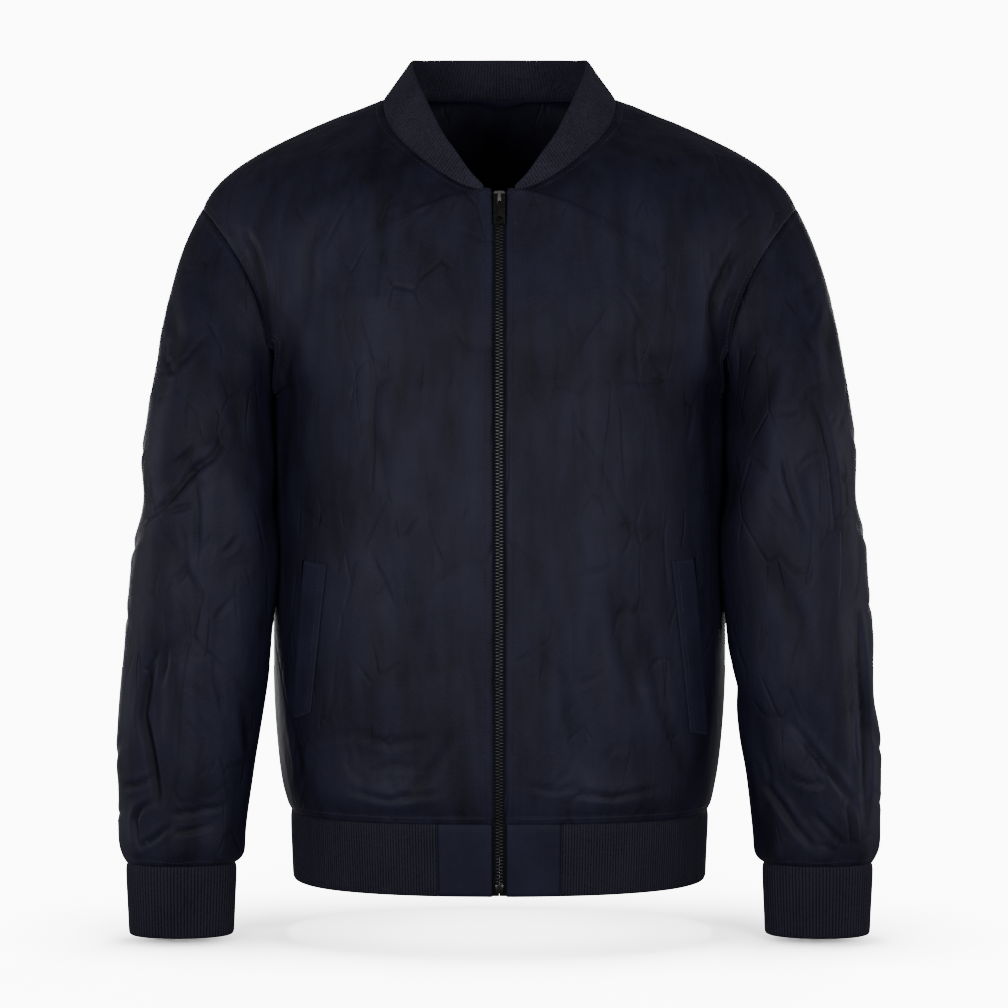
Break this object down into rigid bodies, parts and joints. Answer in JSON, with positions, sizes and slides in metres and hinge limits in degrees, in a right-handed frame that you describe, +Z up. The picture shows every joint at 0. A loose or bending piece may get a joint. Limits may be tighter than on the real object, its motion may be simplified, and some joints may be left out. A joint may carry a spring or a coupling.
{
  "type": "bomber jacket",
  "caption": "Zipped bomber jacket filled out as worn, with rib collar, cuffs and hem band, slanted welt pockets and a hanging zip pull.",
  "frame": {"origin": "middle of the neck opening, level with the tops of the shoulder seams, where the wearer's neck and shoulders hold the jacket", "axes": "+Z up along the body, +X to the wearer's left, and the zipped front faces -Y"},
  "size_m": [0.673, 0.296, 0.7915],
  "materials": {
    "navy_cloth": "soft napped sateen, dark navy",
    "navy_rib": "matt rib knit, near-black navy",
    "zip_tape": "woven tape, black",
    "black_metal": "polished gunmetal black"
  },
  "bodies": {
    "jacket": {"front_left": "navy_cloth", "front_right": "navy_cloth", "back": "navy_cloth", "sleeve_left": "navy_cloth", "sleeve_right": "navy_cloth", "collar_rib": "navy_rib", "neck_tape": "navy_cloth", "hem_rib": "navy_rib", "pocket_welt_left": "navy_cloth", "pocket_welt_right": "navy_cloth", "cuff_left": "navy_rib", "hem_tab_left": "navy_cloth", "zip_tape_left": "zip_tape", "zip_chain_left": "black_metal", "cuff_right": "navy_rib", "hem_tab_right": "navy_cloth", "zip_tape_right": "zip_tape", "zip_chain_right": "black_metal", "zip_box": "black_metal", "zip_slider": "black_metal", "zip_top_stop_left": "black_metal", "zip_top_stop_right": "black_metal"},
    "zip_pull": {"zip_pull": "black_metal"}
  },
  "joints": [
    {"name": "pull_swing", "type": "hinge", "parent": "jacket", "child": "zip_pull", "pos_m": [0, -0.11393, -0.10188], "axis": [-1, 0, 0], "range_deg": [0, 150]}
  ]
}
